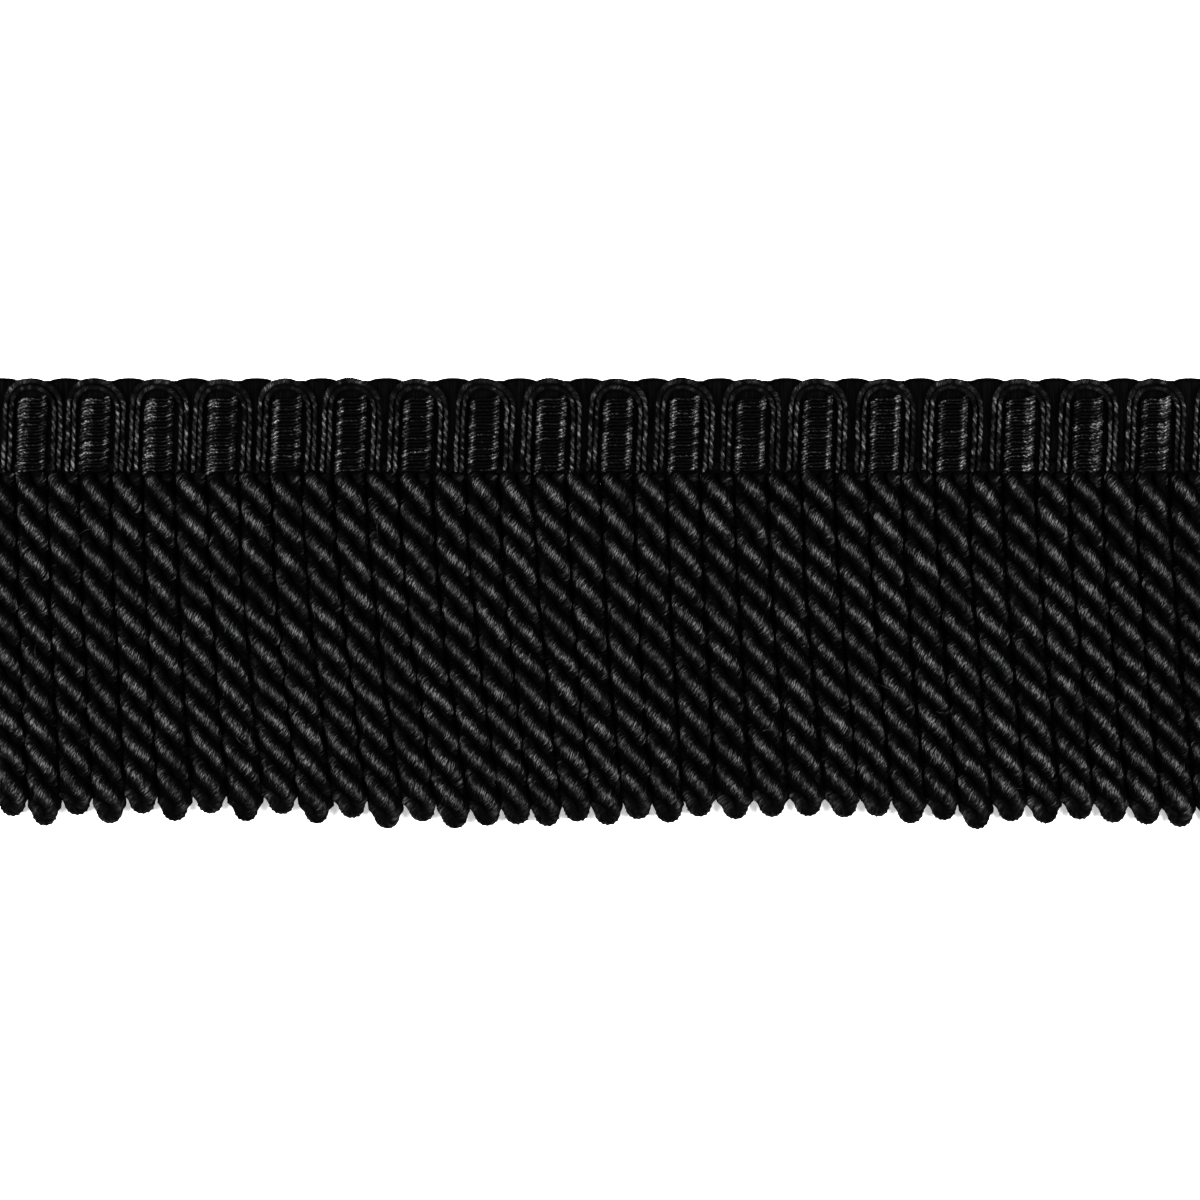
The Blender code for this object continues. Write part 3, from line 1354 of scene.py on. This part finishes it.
        # Painted shade towards the loop end and, below, in the furrows between the fine yarns.
        lit = lit * (1 - self.end_painted_shade * near_end)
        fine = 1 - self.fleck + self.fleck * flecks(rng, crest.shape, 1)
        return (1 - self.furrow + self.furrow * crest) * fine * lit

    def cord(self, index: int, skein: Skein) -> None:
        """Add one cord.

        Args:
            index: The cord's number from the left.
            skein: Where it is gathered.
        """
        rng = np.random.default_rng(self.seed + index)
        rows = self.loop(index, rng)
        path, outward, size, pressed = rows[:, :3], unit(rows[:, 3:6]), rows[:, 6:7], rows[:, 7:]
        run = run_of(path)
        around = 2 * self.yarns
        crest = np.broadcast_to((np.arange(around) % 2 == 0).astype(float), (len(path), around))
        lay = self.yarn_lay * (1 + self.yarn_lay_vary * rng.normal())
        turn = rng.uniform(0, TURN) + run * TURN / lay
        spokes = tube(path, np.ones(len(path)), turn, around) - path[:, None]
        cosine = np.einsum("ijk,ik->ij", spokes, outward)
        left = self.loop_end(index)[0] + path[:, 1:2] - self.strip.foot
        near_end = 1 - self.end_over.at(left)
        thick = size * (1 + self.thick.along(rng, run[-1], run))[:, None]
        thick = thick * (1 + self.end_swell * near_end)
        uneven = 1 + rng.normal(0, self.uneven, crest.shape)
        reach = self.section(cosine, pressed * self.under.at(-spokes[..., 2])) * thick
        reach = (reach - self.groove * (1 - crest) * size) * uneven
        rings = path[:, None] + spokes * reach[..., None]
        self.settle(index, rings)
        crest = self.glow(crest, spokes, outward, near_end, rng)
        shine = self.shine + self.shine_wander.along(rng, run[-1], run)
        skein.sweep(rings, run, crest, np.clip(shine, *SHINE_RANGE)[:, None])
        for _ in range(rng.integers(0, self.loose.most + 1)):
            self.stray(index, rng, skein)

    def stray(self, index: int, rng: np.random.Generator, skein: Skein) -> None:
        """Add a loose fibre end to a cord.

        Args:
            index: The cord's number from the left.
            rng: The source of chance.
            skein: Where it is gathered.
        """
        loose = self.loose
        down = rng.uniform(loose.from_root, self.loop_end(index)[0] - loose.from_end)
        share = np.linspace(0.0, 1.0, loose.points)
        heading = rng.uniform(0, TURN) + rng.normal(0, loose.curl) * share
        step = rng.uniform(*loose.length) * share[1]
        path = self.centre(index, np.full(len(share), down))
        path[:, 0] += rng.uniform(-loose.aside, loose.aside) + step * np.cumsum(np.cos(heading))
        path[:, 1] += step * np.cumsum(np.sin(heading))
        path[:, 2] += self.helix + self.ply - loose.sunk + loose.rise * np.sin(math.pi * share)
        radius = loose.radius * (loose.taper - share)
        rings = tube(path, radius, np.zeros(len(path)), loose.around)
        skein.sweep(rings, run_of(path), np.full(rings.shape[:2], loose.crest), loose.shine)

    def build(self) -> list:
        """Build and dress the skirt.

        Returns:
            The strip and the cords, which replace one solid between them.
        """
        finish = self.finish.make()
        made = [self.strip.make(finish)]
        for start in range(0, REPEAT.cords, self.per_piece):
            skein = Skein()
            for index in range(start, min(start + self.per_piece, REPEAT.cords)):
                self.cord(index, skein)
            made.append(skein.make(f"bullion_cords_{start // self.per_piece + 1}", finish))
        for piece in made:
            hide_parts("bullion_skirt")
            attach(piece, "root")
        return made


@dataclass
class Studio:
    """Table, lights and camera, in metres."""

    distance: float = 0.95
    middle_y: float = -0.0303
    level: float = 0.003
    framing: float = 0.2088
    sensor: float = 36.0
    nearest: float = 0.05
    table_rim: tuple = (
        # radius, height
        (1.5, 0.0),
        (2.4, 0.0),
        (2.7, 0.04),
        (2.95, 0.16),
        (3.1, 0.36),
        (3.15, 0.7),
    )
    table_around: int = 64
    light_x: float = 0.34
    light_z: float = 0.42
    light_size: float = 0.30
    left_power: float = 11.2
    right_power: float = 10.8
    overhead_y: float = 0.25
    overhead_z: float = 0.9
    overhead_size: float = 0.6
    overhead_power: float = 0.2
    surround: float = 0.05

    def lamp(self, name: str, place: tuple, size: float, power: float) -> bpy.types.Object:
        """A soft square lamp aimed at the trim.

        Args:
            name: Its name.
            place: Where it hangs.
            size: Its side.
            power: Its power in watts.

        Returns:
            The lamp.
        """
        light = bpy.data.lights.new(name, "AREA")
        light.shape = "SQUARE"
        light.size = size
        light.energy = power
        made = bpy.data.objects.new(name, light)
        made.location = place
        aim = Vector((0.0, self.middle_y, 0.0)) - Vector(place)
        made.rotation_mode = "QUATERNION"
        made.rotation_quaternion = aim.to_track_quat("-Z", "Y")
        bpy.context.scene.collection.objects.link(made)
        return made

    def table(self) -> bpy.types.Object:
        """The wide round table, whose rim sweeps up so that it fills the view from the side.

        Returns:
            The table.
        """
        around = self.table_around
        turn = np.arange(around) * TURN / around
        points, faces = [], [tuple(range(around))]
        for ring, (radius, height) in enumerate(self.table_rim):
            points += [(radius * math.cos(a), radius * math.sin(a), height) for a in turn]
            if ring:
                for place in range(around):
                    here = ring * around + place
                    after = ring * around + (place + 1) % around
                    faces.append((here - around, here, after, after - around))
        mesh = bpy.data.meshes.new("table_top")
        mesh.from_pydata(points, [], faces)
        mesh.shade_smooth()
        mesh.materials.append(FloorFinish().make())
        made = bpy.data.objects.new("table_top", mesh)
        bpy.context.scene.collection.objects.link(made)
        return made

    def build(self) -> None:
        """Set up the table, lights, surround and camera."""
        self.table()
        for name, side, power in (
            ("left_light", -1, self.left_power),
            ("right_light", 1, self.right_power),
        ):
            place = (side * self.light_x, self.middle_y, self.light_z)
            self.lamp(name, place, self.light_size, power)
        overhead = (0.0, self.middle_y + self.overhead_y, self.overhead_z)
        self.lamp("overhead_light", overhead, self.overhead_size, self.overhead_power)
        world = bpy.data.worlds.new("surround")
        world.use_nodes = True
        world.node_tree.nodes["Background"].inputs["Color"].default_value = (1, 1, 1, 1)
        world.node_tree.nodes["Background"].inputs["Strength"].default_value = self.surround
        bpy.context.scene.world = world
        bpy.context.scene.view_settings.view_transform = "Standard"
        camera = bpy.data.cameras.new("camera")
        camera.sensor_width = self.sensor
        camera.lens = self.sensor * self.distance / self.framing
        camera.clip_start = self.nearest
        made = bpy.data.objects.new("camera", camera)
        made.location = (0.0, self.middle_y, self.level + self.distance)
        bpy.context.scene.collection.objects.link(made)
        bpy.context.scene.camera = made


def triangles(obj: bpy.types.Object) -> int:
    """Triangles in an object's mesh."""
    return sum(len(face.vertices) - 2 for face in obj.data.polygons)


def main() -> None:
    """Build the trim and what it is seen with."""
    logging.basicConfig(level=logging.INFO, format="%(name)s: %(message)s")
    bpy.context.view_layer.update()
    Studio().build()
    made = [Ground().build(), *GimpArches().build(), *RibPanels().build(), *Skirt().build()]
    for piece in made:
        log.info("%s: %d triangles", piece.name, triangles(piece))
    log.info("in all: %d triangles", sum(triangles(piece) for piece in made))


if __name__ == "__main__":
    main()
